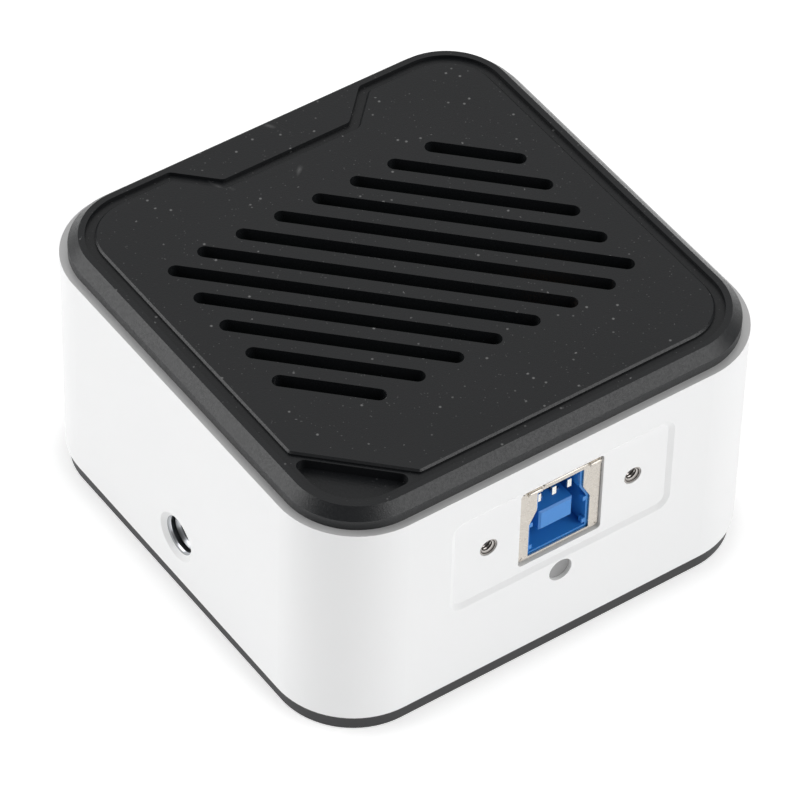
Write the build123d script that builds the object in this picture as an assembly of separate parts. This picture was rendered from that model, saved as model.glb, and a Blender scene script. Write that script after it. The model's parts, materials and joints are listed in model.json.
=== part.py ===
from build123d import *
import os
from math import atan, degrees, radians, sqrt, tan

# A microscope camera lying on its front plate. Millimetres, +Z up, z = 0 at the face it lies on,
# x = y = 0 on the lens axis. The socket is in the -Y wall and the tripod thread in the -X wall.

# Housing: a square tube with rounded corners
side = 68.0
height = 38.0
corner_radius = 11.2
wall = 3.0
spigot_fit = 0.15
cover_fit = 0.03

# Front plate, which closes the lens end
plate_flange = 2.6
plate_inset = 0.55
plate_spigot = 1.4
plate_edge = 0.2

# Rear cover: a flange that stands on the housing's bare rim, with a spigot inside the tube
cover_rise = 2.75
cover_inset = 1.07
cover_chamfer_run = 1.31
cover_chamfer_rise = 1.39
cover_spigot = 4.0
cover_spigot_wall = 2.4
panel_thickness = 3.0
panel_edge = 0.25
rim_land = 0.84
groove_width = 1.29
groove_depth = 0.5

# Land that runs from the rim into the panel at the +Y side
land_half = 9.6
land_reach = 4.93
land_radius = 1.0

# Sunk pocket in the panel's clipped -X -Y corner
corner_clip = 9.83
clip_radius = 0.8
pocket_gap = 0.4
pocket_depth = 1.4
pocket_radius = 1.0
pocket_margin = 0.85

# Vent slots, at 45 degrees across the panel
slot_width = 2.0
slot_pitch = 4.063
slot_margin_x = 5.17
slot_margin_y = 12.56
slot_corner = 6.55

# Shallow recess round the socket
socket_x = 0.4
recess_half = 16.75
recess_sill = 2.23
recess_head = 1.05
recess_depth = 0.4
recess_slope = 0.7
recess_radius = 2.0

# Socket of the data cable: a metal shell, a plastic body with a tongue, and its contacts.
# Heights in it are measured from the shell's underside.
shell_width = 12.04
shell_height = 12.2
shell_length = 16.0
shell_sheet = 0.4
shell_drop = 20.37
shell_setback = 0.35
opening_side_gap = 0.23
opening_top_gap = 0.2
opening_low_gap = 0.45
opening_radius = 0.6
mouth_half = 4.6
mouth_sill = 0.35
mouth_shoulder = 5.87
mouth_neck = 7.97
mouth_neck_half = 3.5
mouth_roof = 11.07
insulator_setback = 0.3
insulator_lip = 0.35
cavity_depth = 8.8
tongue_half = 2.5
tongue_rise = 3.12
tongue_thickness = 3.2
tongue_setback = 0.35
tongue_edge = 0.25
shell_seam = 0.1
guide_height = 0.7
guide_reach = 0.45
guide_rises = (1.1, 5.0)
signal_count = 5
signal_pitch = 1.15
signal_width = 0.6
signal_rise = 8.97
signal_drop = 1.3
signal_setback = 0.6
signal_stagger = 2.0
power_offset = 1.25
power_width = 1.1
power_setback = 2.0
contact_sheet = 0.25

# Threaded bushes beside the socket
lock_offset = 10.9
lock_rise = 6.02
lock_bush_radius = 1.28
lock_bush_length = 5.0
lock_thread_radius = 0.8
lock_thread_depth = 4.0
lock_mouth = 0.3
lock_setback = 0.1
bush_fit = 0.03

# Status light
light_x = 0.5
light_drop = 4.17
light_radius = 1.64
light_fit = 0.06
light_dish = 0.5
pipe_length = 5.0
led_width = 3.2
led_depth = 2.6

# Tripod thread in the -X wall: a threaded insert in a boss, in a dished hole
tripod_height = 9.7
tripod_bush_radius = 3.0
tripod_bush_length = 7.5
tripod_thread_radius = 2.6
tripod_thread_depth = 6.3
tripod_mouth = 0.15
tripod_setback = 0.5
tripod_lip_radius = 2.75
tripod_dish = 0.75
tripod_boss_radius = 4.6
tripod_boss_length = 5.5

# Lens ring with the thread for the microscope's adapter
ring_radius = 15.5
ring_fit = 0.1
lens_thread_radius = 12.27
lens_thread_length = 5.0
filter_ledge = 0.5
filter_fit = 0.08
filter_thickness = 1.1

# Image sensor, at the depth that the lens thread's standard asks for
flange_focal_distance = 17.526
package_width = 16.0
package_length = 14.0
package_height = 2.0
die_cavity_width = 12.4
die_cavity_length = 10.4
die_depth = 0.45
window_margin = 0.6
window_thickness = 0.5

# Circuit boards
board_thickness = 1.6
sensor_board_half = 22.8
sensor_board_front = -15.0
sensor_board_back = 21.0
main_board_margin = 2.5
main_board_front = -15.0
main_board_notch = 6.4
board_room = 4.6
socket_board_margin = 10.0
socket_board_gap = 0.5
board_margin = 0.3
connector_length = 20.0
connector_width = 4.2
connector_y = 14.0
processor_side = 17.0
processor_height = 1.8
memory_width = 8.0
memory_length = 12.0
memory_height = 1.1
memory_offset = 17.0
ribbon_width = 7.0
ribbon_sheet = 0.3
ribbon_x = 11.0
ribbon_tab = 5.0
ribbon_gap = 0.6

# Small screws that hold the boards to the front plate's pillars, and the sleeves between the boards
pillar_side = 5.0
pillar_hole_depth = 8.5
sleeve_flats = 4.5
post_x = 19.5
post_front = -11.0
post_back = 17.0
socket_post_inset = 3.0
socket_post_y = -18.0
thread_radius = 1.0
thread_fit = 0.05
thread_reach = 3.5
screw_head_flats = 4.0
screw_head = 1.4

# Countersunk screws that hold the front plate to the housing's corner blocks
case_screw_inset = 7.4
case_block_reach = 3.4
case_block_height = 12.0
case_thread_radius = 1.25
case_head_radius = 2.5
case_head_height = 1.4
case_hole_fit = 0.1
case_screw_length = 12.0
case_socket_flats = 1.5
case_socket_depth = 0.8

# Sizes that follow from those above
half = side / 2
bore_half = half - wall
bore_radius = corner_radius - wall
ledge_z = height - cover_rise
plate_top = plate_flange + plate_spigot
spigot_z = ledge_z - cover_spigot
panel_underside = height - panel_thickness
cover_half = half - cover_inset
cover_radius = corner_radius - cover_inset
rim_inset = cover_chamfer_run + rim_land
bay_half = cover_half - rim_inset
bay_radius = cover_radius - rim_inset
land_y = bay_half - land_reach
groove_z = height - groove_depth
panel_half = bay_half - groove_width
clip_distance = bay_half * sqrt(2) - corner_clip
slot_field_x = panel_half - slot_margin_x
slot_field_y = panel_half - slot_margin_y
slot_first = (slot_field_x + slot_field_y) / sqrt(2) - slot_corner
slot_count = int(2 * slot_first / slot_pitch) + 1
shell_low = height - shell_drop
shell_high = shell_low + shell_height
recess_low = shell_low - recess_sill
recess_high = shell_high + recess_head
lock_height = shell_low + lock_rise
light_height = shell_low - light_drop
mouth_low = shell_low + mouth_sill
mouth_high = shell_low + mouth_roof
tongue_low = shell_low + tongue_rise
tongue_high = tongue_low + tongue_thickness
signal_top = shell_low + signal_rise
recess_y = -half + recess_depth
shell_y = recess_y + shell_setback
insulator_y = shell_y + insulator_setback
tongue_y = insulator_y + tongue_setback
socket_board_top = shell_low
socket_board_low = socket_board_top - board_thickness
sensor_z = flange_focal_distance
package_low = sensor_z - die_depth
package_top = package_low + package_height
sensor_board_top = package_top + board_thickness
main_board_top = panel_underside - board_room
main_board_low = main_board_top - board_thickness
main_board_half = bore_half - main_board_margin
socket_board_half = bore_half - socket_board_margin
socket_board_back = sensor_board_front - socket_board_gap
socket_post_x = socket_board_half - socket_post_inset
case_screw_place = half - case_screw_inset
filter_low = lens_thread_length
filter_top = filter_low + filter_thickness
filter_radius = lens_thread_radius + filter_ledge
corners = [(x, y) for x in (-case_screw_place, case_screw_place) for y in (-case_screw_place, case_screw_place)]
board_posts = [(-post_x, post_front), (post_x, post_back)]
socket_post = (-socket_post_x, socket_post_y)
socket_prop = (socket_post_x, socket_post_y)
lock_sides = {"left": -1, "right": 1}

BOTTOM = (Align.CENTER, Align.CENTER, Align.MIN)


def slab(face, low, high):
    """A flat outline made into a plate between two heights."""
    return Pos(0, 0, low) * extrude(face, high - low)


def rounded_square(half_width, radius):
    return RectangleRounded(2 * half_width, 2 * half_width, radius)


def block(x_low, x_high, y_low, y_high, z_low, z_high):
    """A box between two corners."""
    box = Box(x_high - x_low, y_high - y_low, z_high - z_low)
    return Pos((x_low + x_high) / 2, (y_low + y_high) / 2, (z_low + z_high) / 2) * box


def rod(x, y, low, high, radius):
    """An upright round rod."""
    return Pos(x, y, low) * Cylinder(radius, high - low, align=BOTTOM)


def rod_y(x, z, y_outer, y_inner, radius):
    """A rod square to the -Y wall."""
    return Pos(x, y_inner, z) * Rot(90, 0, 0) * Cylinder(radius, y_inner - y_outer, align=BOTTOM)


def rod_x(z, x_outer, x_inner, radius):
    """A rod square to the -X wall, on its middle."""
    return Pos(x_inner, 0, z) * Rot(0, -90, 0) * Cylinder(radius, x_inner - x_outer, align=BOTTOM)


def joined(pieces):
    """Separate solids of one node, such as a set of like screws."""
    return Compound(children=list(pieces))


def side_outline(points, y_low, y_high):
    """An outline given as x and z, made into a block between two depths behind the -Y wall."""
    face = make_face(Polyline(*[(x, z) for x, z in points], close=True))
    return Pos(0, y_high, 0) * Rot(90, 0, 0) * extrude(face, y_high - y_low)


def socket_outline(inset):
    """The socket's mouth, a square with a narrower neck above it, drawn in by inset."""
    left = [
        (-(mouth_half - inset), mouth_low + inset),
        (-(mouth_half - inset), shell_low + mouth_shoulder),
        (-(mouth_neck_half - inset), shell_low + mouth_neck),
        (-(mouth_neck_half - inset), mouth_high - inset),
    ]
    right = [(-x, z) for x, z in reversed(left)]
    return [(socket_x + x, z) for x, z in left + right]


def recess_cut():
    """The shallow recess, with sides that slope out to the wall's face."""
    width = 2 * recess_half
    tall = recess_high - recess_low
    outer = RectangleRounded(width, tall, recess_radius)
    angle = degrees(atan(recess_slope / recess_depth))
    cut = extrude(outer, recess_depth, taper=angle)
    return Pos(socket_x, -half, (recess_low + recess_high) / 2) * Rot(-90, 0, 0) * cut


def socket_opening():
    """The square opening that the socket's shell stands in."""
    width = shell_width + 2 * opening_side_gap
    low = shell_low - opening_low_gap
    high = shell_high + opening_top_gap
    face = RectangleRounded(width, high - low, opening_radius)
    return Pos(socket_x, -bore_half, (low + high) / 2) * Rot(90, 0, 0) * extrude(face, wall)


def housing():
    tube = slab(rounded_square(half, corner_radius), plate_flange, ledge_z)
    tube -= slab(rounded_square(bore_half, bore_radius), plate_flange, ledge_z)
    block_top = plate_top + case_block_height
    inside = slab(rounded_square(half - wall / 2, corner_radius - wall / 2), plate_top, spigot_z)
    for x, y in corners:
        side_x = 1 if x > 0 else -1
        side_y = 1 if y > 0 else -1
        inner_x, outer_x = sorted((x - side_x * case_block_reach, side_x * half))
        inner_y, outer_y = sorted((y - side_y * case_block_reach, side_y * half))
        tube += block(inner_x, outer_x, inner_y, outer_y, plate_top, block_top) & inside
        tube -= rod(x, y, plate_top, block_top, case_thread_radius + thread_fit)
    tube += rod_x(tripod_height, -half + wall / 2, -bore_half + tripod_boss_length, tripod_boss_radius)
    tripod_seat = -half + tripod_setback
    tube -= rod_x(tripod_height, tripod_seat, tripod_seat + tripod_bush_length, tripod_bush_radius + bush_fit)
    dish = Cone(tripod_lip_radius + tripod_dish, tripod_lip_radius, tripod_setback, align=BOTTOM)
    tube -= Pos(-half, 0, tripod_height) * Rot(0, 90, 0) * dish
    tube -= recess_cut()
    tube -= socket_opening()
    for sign in lock_sides.values():
        tube -= rod_y(socket_x + sign * lock_offset, lock_height, -half, -bore_half, lock_bush_radius + bush_fit)
    tube -= rod_y(light_x, light_height, -half, -bore_half, light_radius + light_fit)
    return tube


def front_plate():
    plate = slab(rounded_square(half - plate_inset, corner_radius - plate_inset), 0, plate_flange)
    plate = chamfer(plate.edges().group_by(Axis.Z)[0], plate_edge)
    plate += slab(rounded_square(bore_half - spigot_fit, bore_radius - spigot_fit), plate_flange, plate_top)
    for places, top in ((board_posts, package_top), ((socket_post, socket_prop), socket_board_low)):
        for x, y in places:
            plate += Pos(x, y, plate_top) * Box(pillar_side, pillar_side, top - plate_top, align=BOTTOM)
            if (x, y) != socket_prop:
                plate -= rod(x, y, top - pillar_hole_depth, top, thread_radius + thread_fit)
    plate -= rod(0, 0, 0, plate_top, ring_radius + ring_fit)
    for x, y in corners:
        plate -= Pos(x, y, 0) * case_screw_body(plate_top, case_hole_fit)
    return plate


def case_screw_body(top, clearance):
    """A countersunk screw up to a height, or with a clearance the hole that it passes."""
    head = Cone(case_head_radius + clearance, case_thread_radius + clearance, case_head_height, align=BOTTOM)
    return head + rod(0, 0, 0, top, case_thread_radius + clearance)


def case_screws():
    screw = case_screw_body(case_screw_length, 0)
    screw -= extrude(RegularPolygon(case_socket_flats / 2, 6, major_radius=False), case_socket_depth)
    return joined(Pos(x, y, 0) * screw for x, y in corners)


def bay(inset):
    """The area inside the cover's rim, with the land cut out of it, drawn in by inset."""
    field_half = bay_half - inset
    field = rounded_square(field_half, bay_radius - inset)
    low_half = land_half + inset * tan(radians(22.5))
    low_y = land_y - inset
    top_y = bay_half + 1
    top_half = low_half + top_y - low_y
    land = make_face(Polyline(
        (-top_half, top_y), (-low_half, low_y), (low_half, low_y), (top_half, top_y), close=True))
    field -= land
    far_side = [v for v in field.vertices() if v.Y > 0]
    turns = sorted(far_side, key=lambda v: abs(v.X))[:4]
    return fillet(turns, land_radius)


def beyond_clip(distance):
    """Everything past a 45 degree line at that distance from the middle, at the -X -Y corner."""
    return Rot(0, 0, 45) * Pos(-distance - half, 0) * Rectangle(side, 2 * side)


def vent_slots():
    """The slot outlines, each as long as the oblong field lets it be."""
    found = []
    for k in range(slot_count):
        line = (slot_first - k * slot_pitch) * sqrt(2)
        left = max(-slot_field_x, line - slot_field_y)
        right = min(slot_field_x, line + slot_field_y)
        length = (right - left) * sqrt(2)
        middle = (left + right) / 2
        found.append(Pos(middle, line - middle) * Rot(0, 0, -45) * SlotOverall(length, slot_width))
    return found


def rear_cover():
    shoulder = height - cover_chamfer_rise
    outline = rounded_square(cover_half, cover_radius)
    cover = slab(outline, ledge_z, shoulder)
    slope = degrees(atan(cover_chamfer_run / cover_chamfer_rise))
    cover += Pos(0, 0, shoulder) * extrude(outline, cover_chamfer_rise, taper=slope)
    spigot_half = bore_half - cover_fit
    spigot_radius = bore_radius - cover_fit
    cover += slab(rounded_square(spigot_half, spigot_radius), spigot_z, ledge_z)
    hollow = rounded_square(spigot_half - cover_spigot_wall, spigot_radius - cover_spigot_wall)
    cover -= slab(hollow, spigot_z, panel_underside)
    cover -= slab(bay(0), groove_z, height)
    panel = bay(groove_width) - beyond_clip(clip_distance)
    panel = fillet(panel.vertices().sort_by_distance((-half, -half, 0))[:2], clip_radius)
    cover += slab(panel, groove_z, height - panel_edge)
    cover += Pos(0, 0, height - panel_edge) * extrude(panel, panel_edge, taper=45)
    pocket = bay(pocket_margin) & beyond_clip(clip_distance + pocket_gap)
    pocket = fillet(pocket.vertices().sort_by_distance((0, 0, 0))[:2], pocket_radius)
    cover -= slab(pocket, groove_z - pocket_depth, groove_z)
    for slot in vent_slots():
        cover -= slab(slot, panel_underside, height)
    return cover


def lens_ring():
    """The ring that holds the lens thread, with a seat behind it for the filter."""
    ring = rod(0, 0, 0, filter_top, ring_radius)
    ring -= rod(0, 0, 0, filter_low, lens_thread_radius)
    ring -= rod(0, 0, filter_low, filter_top, filter_radius + filter_fit)
    return ring


def filter_glass():
    return rod(0, 0, filter_low, filter_top, filter_radius)


def hexagon(flats):
    return RegularPolygon(flats / 2, 6, major_radius=False)


def board_screw(seat, bottom):
    """A hexagon-headed screw whose head stands on a seat and whose thread goes down to a height."""
    head = Pos(0, 0, seat) * extrude(hexagon(screw_head_flats), screw_head)
    return head + rod(0, 0, bottom, seat, thread_radius)


def board_screws():
    screw = board_screw(main_board_top, package_top - thread_reach)
    return joined(Pos(x, y, 0) * screw for x, y in board_posts)


def socket_board_screw():
    x, y = socket_post
    return Pos(x, y, 0) * board_screw(socket_board_top, socket_board_low - thread_reach)


def board_sleeves():
    sleeve = slab(hexagon(sleeve_flats), sensor_board_top, main_board_low)
    sleeve -= rod(0, 0, sensor_board_top, main_board_low, thread_radius + thread_fit)
    return joined(Pos(x, y, 0) * sleeve for x, y in board_posts)


def drilled(board, places, low, high):
    for x, y in places:
        board -= rod(x, y, low, high, thread_radius + thread_fit)
    return board


def sensor_board():
    board = block(-sensor_board_half, sensor_board_half, sensor_board_front, sensor_board_back,
                  package_top, sensor_board_top)
    return drilled(board, board_posts, package_top, sensor_board_top)


def image_sensor():
    package = block(-package_width / 2, package_width / 2, -package_length / 2, package_length / 2,
                    package_low, package_top)
    die_cavity = block(-die_cavity_width / 2, die_cavity_width / 2, -die_cavity_length / 2,
                       die_cavity_length / 2, package_low, sensor_z)
    return package - die_cavity


def sensor_window():
    x = package_width / 2 - window_margin
    y = package_length / 2 - window_margin
    return block(-x, x, -y, y, package_low - window_thickness, package_low)


def board_connector():
    return block(-connector_length / 2, connector_length / 2, connector_y - connector_width / 2,
                 connector_y + connector_width / 2, sensor_board_top, main_board_low)


def main_board():
    board = block(-main_board_half, main_board_half, main_board_front, main_board_half,
                  main_board_low, main_board_top)
    for sign in (-1, 1):
        board -= Pos(sign * main_board_half, main_board_half, main_board_low) * Box(
            2 * main_board_notch, 2 * main_board_notch, board_thickness, align=BOTTOM)
    return drilled(board, board_posts, main_board_low, main_board_top)


def processor_chip():
    reach = processor_side / 2
    return block(-reach, reach, -reach, reach, main_board_top, main_board_top + processor_height)


def memory_chips():
    chip = block(-memory_width / 2, memory_width / 2, -memory_length / 2, memory_length / 2,
                 main_board_top, main_board_top + memory_height)
    return joined(Pos(sign * memory_offset, 0, 0) * chip for sign in (-1, 1))


def socket_board():
    board = block(-socket_board_half, socket_board_half, -bore_half + board_margin, socket_board_back,
                  socket_board_low, socket_board_top)
    return drilled(board, [socket_post], socket_board_low, socket_board_top)


def ribbon_cable():
    """A flat cable that lies on the socket's board, rises past the main board's edge and lies on that board."""
    rise_y = main_board_front - ribbon_gap
    outer = Polyline(
        (rise_y - ribbon_tab, socket_board_top), (rise_y, socket_board_top),
        (rise_y, main_board_top), (rise_y + ribbon_gap + ribbon_tab, main_board_top),
        (rise_y + ribbon_gap + ribbon_tab, main_board_top + ribbon_sheet),
        (rise_y - ribbon_sheet, main_board_top + ribbon_sheet),
        (rise_y - ribbon_sheet, socket_board_top + ribbon_sheet),
        (rise_y - ribbon_tab, socket_board_top + ribbon_sheet), close=True)
    strip = extrude(make_face(outer), ribbon_width / 2, both=True)
    return Pos(ribbon_x, 0, 0) * Plane.YZ.location * strip


def socket_shell():
    x_low = socket_x - shell_width / 2
    x_high = socket_x + shell_width / 2
    shell = block(x_low, x_high, shell_y, shell_y + shell_length, shell_low, shell_high)
    shell -= block(x_low + shell_sheet, x_high - shell_sheet, shell_y + shell_sheet / 2,
                   shell_y + shell_length, shell_low + shell_sheet / 2,
                   shell_high - shell_sheet)
    shell -= side_outline(socket_outline(0), shell_y, shell_y + shell_sheet)
    seam = Box(shell_seam, shell_sheet, 4 * shell_sheet)
    for x, z, turn in ((x_low, shell_low, 45), (x_high, shell_low, -45),
                       (x_low, shell_high, -45), (x_high, shell_high, 45)):
        shell -= Pos(x, shell_y, z) * Rot(0, turn, 0) * seam
    return shell


def socket_insulator():
    gap = thread_fit
    body = block(socket_x - shell_width / 2 + shell_sheet + gap, socket_x + shell_width / 2 - shell_sheet - gap,
                 insulator_y, shell_y + shell_length,
                 shell_low + shell_sheet / 2, shell_high - shell_sheet - gap)
    body -= side_outline(socket_outline(insulator_lip), insulator_y, insulator_y + cavity_depth)
    tongue = block(socket_x - tongue_half, socket_x + tongue_half, tongue_y, insulator_y + cavity_depth,
                   tongue_low, tongue_high)
    tongue = chamfer(tongue.faces().sort_by(Axis.Y)[0].edges(), tongue_edge)
    reach = mouth_half - insulator_lip
    for rise in guide_rises:
        z = shell_low + rise
        for sign in (-1, 1):
            ends = sorted((socket_x + sign * (reach - guide_reach), socket_x + sign * reach))
            body += block(*ends, insulator_y, insulator_y + guide_height, z, z + guide_height)
    return body + tongue


def socket_contacts():
    """Four blades on the tongue, and a row of spring tips in the neck, every second one set back."""
    blades = []
    end = insulator_y + cavity_depth
    for offset in (-power_offset, power_offset):
        x = socket_x + offset
        for low in (tongue_low - contact_sheet, tongue_high):
            blades.append(block(x - power_width / 2, x + power_width / 2, tongue_y + power_setback, end,
                                low, low + contact_sheet))
    for k in range(signal_count):
        x = socket_x + (k - (signal_count - 1) / 2) * signal_pitch
        start = tongue_y + signal_setback + signal_stagger * (k % 2)
        tip = block(x - signal_width / 2, x + signal_width / 2, start, end, signal_top - contact_sheet, signal_top)
        tip += block(x - signal_width / 2, x + signal_width / 2, start, start + contact_sheet,
                     signal_top - signal_drop, signal_top)
        blades.append(tip)
    return joined(blades)


def lock_bush(sign):
    x = socket_x + sign * lock_offset
    start = recess_y + lock_setback
    bush = rod_y(x, lock_height, start, start + lock_bush_length, lock_bush_radius)
    bush -= rod_y(x, lock_height, start, start + lock_thread_depth, lock_thread_radius)
    mouth = Cone(lock_thread_radius + lock_mouth, lock_thread_radius, lock_mouth, align=BOTTOM)
    return bush - Pos(x, start, lock_height) * Rot(-90, 0, 0) * mouth


def light_pipe():
    pipe = rod_y(light_x, light_height, -half + light_dish, -half + light_dish + pipe_length, light_radius)
    dish_radius = (light_radius ** 2 + light_dish ** 2) / (2 * light_dish)
    dish = Pos(light_x, -half + 2 * light_dish - dish_radius, light_height) * Sphere(dish_radius)
    return pipe - dish


def status_led():
    start = -half + light_dish + pipe_length
    return block(light_x - led_width / 2, light_x + led_width / 2, start, start + led_depth,
                 light_height - led_width / 2, socket_board_low)


def tripod_bush():
    start = -half + tripod_setback
    bush = rod_x(tripod_height, start, start + tripod_bush_length, tripod_bush_radius)
    bush -= rod_x(tripod_height, start, start + tripod_thread_depth, tripod_thread_radius)
    mouth = Cone(tripod_thread_radius + tripod_mouth, tripod_thread_radius, tripod_mouth, align=BOTTOM)
    return bush - Pos(start, 0, tripod_height) * Rot(0, 90, 0) * mouth


pieces = {
    "housing": housing,
    "rear_cover": rear_cover,
    "front_plate": front_plate,
    "case_screws": case_screws,
    "lens_ring": lens_ring,
    "filter_glass": filter_glass,
    "image_sensor": image_sensor,
    "sensor_window": sensor_window,
    "sensor_board": sensor_board,
    "board_sleeves": board_sleeves,
    "board_screws": board_screws,
    "board_connector": board_connector,
    "main_board": main_board,
    "processor_chip": processor_chip,
    "memory_chips": memory_chips,
    "ribbon_cable": ribbon_cable,
    "socket_board": socket_board,
    "socket_board_screw": socket_board_screw,
    "socket_shell": socket_shell,
    "socket_insulator": socket_insulator,
    "socket_contacts": socket_contacts,
    "light_pipe": light_pipe,
    "status_led": status_led,
    "tripod_bush": tripod_bush,
}

os.makedirs("parts", exist_ok=True)
for name, make in pieces.items():
    export_step(make(), f"parts/{name}.step")
for place, sign in lock_sides.items():
    export_step(lock_bush(sign), f"parts/lock_bush_{place}.step")
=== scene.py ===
"""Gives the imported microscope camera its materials, and the photograph's view and light."""
import json
import math

import bpy
from mathutils import Matrix, Vector


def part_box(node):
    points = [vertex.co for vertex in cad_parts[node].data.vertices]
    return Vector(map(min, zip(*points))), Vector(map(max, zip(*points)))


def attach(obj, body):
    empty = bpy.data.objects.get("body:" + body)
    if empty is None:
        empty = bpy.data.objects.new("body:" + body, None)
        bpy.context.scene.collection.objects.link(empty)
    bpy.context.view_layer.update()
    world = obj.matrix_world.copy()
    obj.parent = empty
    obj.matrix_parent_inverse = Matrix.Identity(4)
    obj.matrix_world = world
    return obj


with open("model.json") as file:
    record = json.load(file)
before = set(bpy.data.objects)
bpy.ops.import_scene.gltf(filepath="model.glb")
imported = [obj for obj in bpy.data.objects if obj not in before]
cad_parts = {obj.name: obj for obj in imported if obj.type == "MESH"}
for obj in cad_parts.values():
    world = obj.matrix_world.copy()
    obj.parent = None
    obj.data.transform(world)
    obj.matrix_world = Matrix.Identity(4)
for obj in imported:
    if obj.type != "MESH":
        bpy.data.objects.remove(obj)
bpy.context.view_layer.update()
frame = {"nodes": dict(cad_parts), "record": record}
nodes = frame["nodes"]
MM = 0.001

# Places on the object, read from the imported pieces, in metres
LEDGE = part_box("housing")[1].z
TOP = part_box("rear_cover")[1].z
SHELL_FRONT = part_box("socket_shell")[0].y

# The photo's camera, in millimetres and degrees; its long lens is given for a 36 mm wide picture
CAMERA_PLACE = (-290.387, -399.156, 516.17)
CAMERA_AZIMUTH = -36.037
CAMERA_ELEVATION = 45.442
CAMERA_ROLL = -1.609
CAMERA_LENS = 249.7
SENSOR = 36.0
CLIP_START = 0.01

# Lamps: the direction in degrees round the object from -Y, the height in degrees, the power in watts and
# the size in metres
LAMPS = {
    "left_lamp": (-128.0, 24.0, 5.4, 0.8),
    "right_lamp": (29.0, 30.0, 4.9, 0.8),
    "back_lamp": (144.0, 45.0, 3.4, 1.8),
}
LAMP_DISTANCE = 1.0

# The studio: the world's level for all but the camera's own rays, and the floor's size, grey and glow
WORLD_LEVEL = 0.2
FLOOR_SIZE = 6.0
FLOOR_GREY = 0.86
FLOOR_GLOW = 0.5

# Rolled edges in the socket's mouth, in millimetres: where each starts and ends, its height and its radius
SHELL_FOLDS = {
    "shell_fold_left": (-4.65, -2.55, 29.15, 0.3),
    "shell_fold_middle": (-2.35, 4.3, 29.55, 0.24),
    "shell_fold_right": (4.6, 6.3, 29.15, 0.3),
}
FOLD_SETOUT = 0.1
FOLD_BEVEL = 0.12

# Marks on the cover, in millimetres: places and sizes of the larger specks, and a round scuff on the land
DUST_MARKS = [
    (6.64, 8.88, 0.28),
    (0.63, 25.91, 0.22),
    (-13.2, 12.6, 0.16),
    (11.4, -3.2, 0.14),
    (-20.5, 3.1, 0.15),
]
SCUFF = (-4.4, 27.2, 9.8)
MARK_CORE = 0.3
MARK_GREY = 0.20
FINE_DUST_SHARE = 0.35
SCUFF_SHARE = 0.5

# The bare rim: how far below the ledge it may lie in millimetres, and how much it looks like metal
RIM_MARGIN = 0.05
RIM_METALLIC = 0.4
PAINT_ROUGHNESS = 0.45
RIM_ROUGHNESS = 0.38

# A face looks up when the height of its normal is over this
FLAT_NORMAL = 0.9

# Threads: the pitches of the lock bushes and the tripod bush in millimetres, the rise of the bump and how
# bright a root is painted beside a crest, as painted shade in the thread's grooves
LOCK_PITCH = 0.4
TRIPOD_PITCH = 1.27
THREAD_RISE = -0.8
ROOT_PAINTED_SHADE = 0.25

# Texture: noise cells to the metre, and how deep the bumps are in millimetres
PLASTIC_GRAIN = 300.0
METAL_GRAIN = 600.0
FINE_BUMP = 0.004


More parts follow.
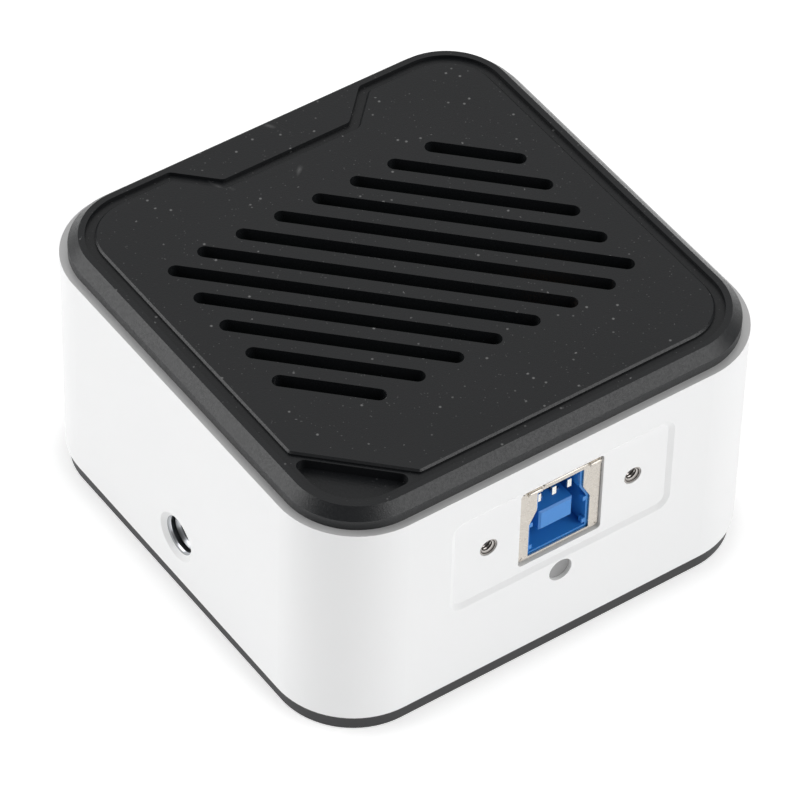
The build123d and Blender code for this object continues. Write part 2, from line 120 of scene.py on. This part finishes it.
class Tree:
    """A material's nodes, written as short calls, most of which return an output socket."""

    def __init__(self, name):
        self.material = bpy.data.materials.new(name)
        self.material.use_nodes = True
        self.nodes = self.material.node_tree.nodes
        self.links = self.material.node_tree.links
        self.shader = self.nodes["Principled BSDF"]

    def node(self, kind, **settings):
        made = self.nodes.new(kind)
        for key, value in settings.items():
            setattr(made, key, value)
        return made

    def feed(self, socket, value):
        """Joins a socket to another, or gives it a plain value."""
        if isinstance(value, bpy.types.NodeSocket):
            self.links.new(value, socket)
        else:
            socket.default_value = value

    def place(self):
        """Where a point is on the object, in metres."""
        return self.node("ShaderNodeTexCoord").outputs["Object"]

    def part_of(self, vector, name):
        split = self.node("ShaderNodeSeparateXYZ")
        self.feed(split.inputs[0], vector)
        return split.outputs[name]

    def axis(self, name):
        return self.part_of(self.place(), name)

    def looks_up(self):
        """One on the faces that look up, and none on the others."""
        normal = self.node("ShaderNodeNewGeometry").outputs["True Normal"]
        return self.math("GREATER_THAN", self.part_of(normal, "Z"), FLAT_NORMAL)

    def math(self, operation, a, b=0.0):
        made = self.node("ShaderNodeMath", operation=operation)
        self.feed(made.inputs[0], a)
        self.feed(made.inputs[1], b)
        return made.outputs[0]

    def ramp(self, value, low, high, to_low=0.0, to_high=1.0):
        made = self.node("ShaderNodeMapRange")
        for key, given in (("Value", value), ("From Min", low), ("From Max", high),
                           ("To Min", to_low), ("To Max", to_high)):
            self.feed(made.inputs[key], given)
        return made.outputs["Result"]

    def noise(self, scale, detail=2.0, roughness=0.5, stretch=(1, 1, 1)):
        spread = self.node("ShaderNodeMapping")
        spread.inputs["Scale"].default_value = stretch
        self.feed(spread.inputs["Vector"], self.place())
        made = self.node("ShaderNodeTexNoise")
        self.feed(made.inputs["Vector"], spread.outputs[0])
        made.inputs["Scale"].default_value = scale
        made.inputs["Detail"].default_value = detail
        made.inputs["Roughness"].default_value = roughness
        return made.outputs["Fac"]

    def cells(self, scale, feature="F1"):
        made = self.node("ShaderNodeTexVoronoi", feature=feature)
        self.feed(made.inputs["Vector"], self.place())
        made.inputs["Scale"].default_value = scale
        return made.outputs["Distance"]

    def specks(self, scale, edge, core, patches, bare):
        """Round specks that fade from core to edge, only where a noise of patches is over bare."""
        dots = self.ramp(self.cells(scale), edge, core)
        return self.math("MULTIPLY", dots, self.math("GREATER_THAN", self.noise(patches, detail=1.0), bare))

    def near(self, x, y, reach):
        """One at a place on the object seen from above, given in millimetres, and none beyond its reach."""
        off_x = self.math("SUBTRACT", self.axis("X"), x * MM)
        off_y = self.math("SUBTRACT", self.axis("Y"), y * MM)
        square_x = self.math("MULTIPLY", off_x, off_x)
        square_y = self.math("MULTIPLY", off_y, off_y)
        far = self.math("SQRT", self.math("ADD", square_x, square_y))
        return self.ramp(far, reach * MM, MARK_CORE * reach * MM)

    def thread(self, axis, pitch):
        """The rise and fall of a screw thread along an axis, from 0 to half its pitch."""
        return self.math("PINGPONG", self.axis(axis), pitch / 2 * MM)

    def mix(self, share, a, b):
        made = self.node("ShaderNodeMix", data_type="RGBA")
        self.feed(made.inputs["Factor"], share)
        for socket, value in ((made.inputs["A"], a), (made.inputs["B"], b)):
            self.feed(socket, value if isinstance(value, bpy.types.NodeSocket) else colour(value))
        return made.outputs["Result"]

    def bump(self, height, depth):
        """A bump as deep as the given number of metres, for a height of one."""
        made = self.node("ShaderNodeBump")
        made.inputs["Distance"].default_value = depth
        self.feed(made.inputs["Height"], height)
        return made.outputs[0]

    def set(self, **values):
        """Sets the shader's inputs, named with _ for a space, and returns the material."""
        for key, value in values.items():
            socket = self.shader.inputs[key.replace("_", " ")]
            self.feed(socket, colour(value) if isinstance(value, tuple) and len(value) == 3 else value)
        return self.material


def colour(value):
    """A linear colour with full alpha, from three linear numbers."""
    return (*value, 1.0)


def grey(level):
    return (level, level, level)


def shaded(tint, share):
    return tuple(share * part for part in tint)


def housing_paint():
    """White powder coat, with the tube's top rim machined bare."""
    t = Tree("housing_paint")
    paint = t.mix(t.noise(40.0), (0.86, 0.865, 0.87), grey(0.89))
    metal_tint = t.mix(t.noise(300.0, detail=4.0), grey(0.74), grey(0.84))
    at_ledge = t.math("GREATER_THAN", t.axis("Z"), LEDGE - RIM_MARGIN * MM)
    on_rim = t.math("MULTIPLY", t.looks_up(), at_ledge)
    t.set(Base_Color=t.mix(on_rim, paint, metal_tint), Metallic=t.math("MULTIPLY", on_rim, RIM_METALLIC),
          Roughness=t.ramp(on_rim, 0.0, 1.0, PAINT_ROUGHNESS, RIM_ROUGHNESS))
    return t.set(Normal=t.bump(t.noise(900.0, detail=3.0), 0.01 * MM))


def cover_black():
    """Black anodised metal, bead blasted, with fine dust and a few marks from handling."""
    t = Tree("cover_black")
    dust = t.specks(scale=700.0, edge=0.16, core=0.06, patches=350.0, bare=0.56)
    fine = t.specks(scale=1900.0, edge=0.22, core=0.10, patches=900.0, bare=0.58)
    speck = t.math("MAXIMUM", dust, t.math("MULTIPLY", fine, FINE_DUST_SHARE))
    for mark in DUST_MARKS:
        speck = t.math("MAXIMUM", speck, t.near(*mark))
    ring = t.math("ABSOLUTE", t.math("SUBTRACT", t.near(*SCUFF), 0.5))
    scuff = t.math("MULTIPLY", t.ramp(ring, 0.06, 0.0), t.ramp(t.noise(260.0), 0.5, 0.62))
    marked = t.math("MAXIMUM", speck, t.math("MULTIPLY", scuff, SCUFF_SHARE))
    clean = t.mix(t.noise(60.0), (0.0075, 0.0085, 0.010), (0.011, 0.012, 0.0135))
    base = t.mix(t.math("MULTIPLY", marked, t.looks_up()), clean, grey(MARK_GREY))
    t.set(Base_Color=base, Roughness=t.ramp(t.noise(3300.0, detail=1.0), 0.3, 0.7, 0.30, 0.42))
    return t.set(Normal=t.bump(t.noise(5200.0, roughness=0.7), 0.03 * MM))


def plate_black():
    """Black metal, smoother than the cover."""
    t = Tree("plate_black")
    t.set(Base_Color=t.mix(t.noise(80.0), (0.018, 0.018, 0.02), (0.028, 0.028, 0.03)), Roughness=0.5)
    return t.set(Normal=t.bump(t.noise(1800.0), 0.006 * MM))


def threaded(name, low, high, roughness, axis, pitch):
    """Metal with a thread cut along an axis; its roots are painted darker than its crests, as painted shade
    in the grooves.
    """
    t = Tree(name)
    rise = t.thread(axis, pitch)
    # Painted shade: the thread's roots get a darker colour, standing in for the shade that falls in its
    # grooves
    root = t.ramp(rise, 0.0, pitch / 2 * MM)
    worn = t.mix(t.noise(900.0, detail=3.0), low, high)
    t.set(Base_Color=t.mix(root, worn, shaded(low, ROOT_PAINTED_SHADE)), Metallic=1.0, Roughness=roughness)
    return t.set(Normal=t.bump(rise, THREAD_RISE))


def metal(name, low, high, roughness, scale=METAL_GRAIN, stretch=(1, 1, 1)):
    t = Tree(name)
    streak = t.noise(scale, detail=3.0, roughness=0.6, stretch=stretch)
    t.set(Base_Color=t.mix(streak, low, high), Metallic=1.0,
          Roughness=t.ramp(streak, 0.3, 0.7, roughness * 0.8, roughness * 1.2))
    return t.set(Normal=t.bump(streak, FINE_BUMP * MM))


def plastic(name, low, high, roughness):
    t = Tree(name)
    texture = t.noise(PLASTIC_GRAIN)
    t.set(Base_Color=t.mix(texture, low, high), Roughness=roughness)
    return t.set(Normal=t.bump(texture, FINE_BUMP * MM))


def glass(name, tint):
    """Clear glass with a faint smear."""
    t = Tree(name)
    smear = t.noise(120.0)
    t.set(Base_Color=t.mix(smear, tint, shaded(tint, 0.96)), Roughness=t.ramp(smear, 0.3, 0.7, 0.02, 0.06))
    return t.set(Transmission_Weight=0.95, IOR=1.5)


def circuit_board():
    """Green board, with the lines between its cells for tracks."""
    t = Tree("board_green")
    tracks = t.ramp(t.cells(260.0, "DISTANCE_TO_EDGE"), 0.04, 0.06)
    base = t.mix(tracks, (0.02, 0.09, 0.035), (0.008, 0.045, 0.02))
    t.set(Base_Color=base, Roughness=0.35)
    return t.set(Normal=t.bump(tracks, 0.02 * MM))


materials = {
    "housing_paint": housing_paint(),
    "cover_black": cover_black(),
    "plate_black": plate_black(),
    "screw_steel": metal("screw_steel", (0.30, 0.30, 0.31), (0.42, 0.42, 0.43), 0.35),
    "ring_metal": metal("ring_metal", (0.05, 0.05, 0.055), (0.08, 0.08, 0.085), 0.4, stretch=(1, 1, 20)),
    "filter_glass": glass("filter_glass", (0.62, 0.90, 0.92)),
    "sensor_ceramic": plastic("sensor_ceramic", (0.10, 0.08, 0.06), (0.14, 0.11, 0.09), 0.6),
    "sensor_glass": glass("sensor_glass", (0.80, 0.92, 0.86)),
    "board_green": circuit_board(),
    "post_brass": metal("post_brass", (0.55, 0.40, 0.16), (0.66, 0.50, 0.22), 0.3),
    "chip_black": plastic("chip_black", (0.012, 0.012, 0.013), (0.02, 0.02, 0.021), 0.55),
    "connector_white": plastic("connector_white", (0.55, 0.52, 0.44), (0.62, 0.59, 0.50), 0.5),
    "ribbon": plastic("ribbon", (0.35, 0.15, 0.02), (0.45, 0.2, 0.03), 0.3),
    "shell_nickel": metal("shell_nickel", (0.55, 0.51, 0.46), (0.68, 0.64, 0.58), 0.28, scale=900.0),
    "insulator_blue": plastic("insulator_blue", (0.028, 0.22, 0.62), (0.036, 0.25, 0.68), 0.35),
    "contact_gold": metal("contact_gold", (0.86, 0.84, 0.78), (0.95, 0.93, 0.88), 0.3),
    "bush_nickel": threaded("bush_nickel", (0.60, 0.56, 0.53), (0.74, 0.71, 0.68), 0.25, "Y", LOCK_PITCH),
    "light_clear": plastic("light_clear", grey(0.30), grey(0.34), 0.18),
    "led_body": plastic("led_body", (0.7, 0.7, 0.62), (0.78, 0.78, 0.7), 0.4),
    "bush_steel": threaded("bush_steel", (0.62, 0.64, 0.67), (0.74, 0.76, 0.79), 0.3, "X", TRIPOD_PITCH),
}
for part in frame["record"]["subparts"]:
    target = nodes[part["node"]]
    target.data.materials.clear()
    target.data.materials.append(materials[part["material_slot"]])


def towards(azimuth, elevation):
    """The direction from the object to a place seen round it and up from it, in degrees."""
    a = math.radians(azimuth)
    e = math.radians(elevation)
    return Vector((math.sin(a) * math.cos(e), -math.cos(a) * math.cos(e), math.sin(e)))


def camera_axes():
    """The camera's right, down and forward directions."""
    forward = -towards(CAMERA_AZIMUTH, CAMERA_ELEVATION)
    roll = math.radians(CAMERA_ROLL)
    level = forward.cross(Vector((0, 0, 1))).normalized()
    plumb = forward.cross(level)
    right = level * math.cos(roll) + plumb * math.sin(roll)
    return right, forward.cross(right), forward


def make_camera():
    right, down, forward = camera_axes()
    data = bpy.data.cameras.new("photo_camera")
    data.sensor_width = SENSOR
    data.sensor_fit = "HORIZONTAL"
    data.lens = CAMERA_LENS
    data.clip_start = CLIP_START
    camera = bpy.data.objects.new("photo_camera", data)
    bpy.context.scene.collection.objects.link(camera)
    turn = Matrix((right, -down, -forward)).transposed().to_4x4()
    camera.matrix_world = Matrix.Translation(Vector(CAMERA_PLACE) * MM) @ turn
    bpy.context.scene.camera = camera


def lamp(name, azimuth, elevation, power, size):
    """A square soft lamp that faces the object."""
    data = bpy.data.lights.new(name, "AREA")
    data.energy = power
    data.size = size
    made = bpy.data.objects.new(name, data)
    bpy.context.scene.collection.objects.link(made)
    direction = towards(azimuth, elevation)
    made.location = Vector((0, 0, TOP / 2)) + direction * LAMP_DISTANCE
    made.rotation_euler = direction.to_track_quat("Z", "Y").to_euler()


def make_floor():
    """A pale floor with a soft glow, as on a light table, which keeps the object's shadow faint."""
    bpy.ops.mesh.primitive_plane_add(size=FLOOR_SIZE, location=(0, 0, 0))
    floor = bpy.context.object
    floor.name = "floor"
    t = Tree("floor_pale")
    t.set(Base_Color=grey(FLOOR_GREY), Roughness=0.9, Specular_IOR_Level=0.0)
    t.set(Emission_Color=grey(1), Emission_Strength=FLOOR_GLOW)
    floor.data.materials.append(t.material)


def make_world():
    """White for the camera's own rays, and dimmer for the light that falls on the object."""
    world = bpy.data.worlds.new("studio")
    bpy.context.scene.world = world
    world.use_nodes = True
    background = world.node_tree.nodes["Background"]
    background.inputs["Color"].default_value = (1, 1, 1, 1)
    path = world.node_tree.nodes.new("ShaderNodeLightPath")
    level = world.node_tree.nodes.new("ShaderNodeMapRange")
    level.inputs["To Min"].default_value = WORLD_LEVEL
    world.node_tree.links.new(path.outputs["Is Camera Ray"], level.inputs["Value"])
    world.node_tree.links.new(level.outputs["Result"], background.inputs["Strength"])


def fold(name, x_low, x_high, z, radius):
    """A rolled edge of the socket's shell, lying along its mouth; sizes in millimetres."""
    middle = ((x_low + x_high) / 2 * MM, SHELL_FRONT - FOLD_SETOUT * MM, z * MM)
    bpy.ops.mesh.primitive_cylinder_add(vertices=20, radius=radius * MM, depth=(x_high - x_low) * MM,
                                        location=middle, rotation=(0, math.radians(90), 0))
    made = bpy.context.object
    made.name = name
    bevel = made.modifiers.new("ends", "BEVEL")
    bevel.width = FOLD_BEVEL * MM
    bevel.segments = 2
    bevel.limit_method = "ANGLE"
    for face in made.data.polygons:
        face.use_smooth = True
    made.data.materials.append(materials["shell_nickel"])
    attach(made, "root")


for name, sizes in SHELL_FOLDS.items():
    fold(name, *sizes)
make_camera()
make_world()
for name, settings in LAMPS.items():
    lamp(name, *settings)
make_floor()
bpy.context.scene.view_settings.view_transform = "Standard"
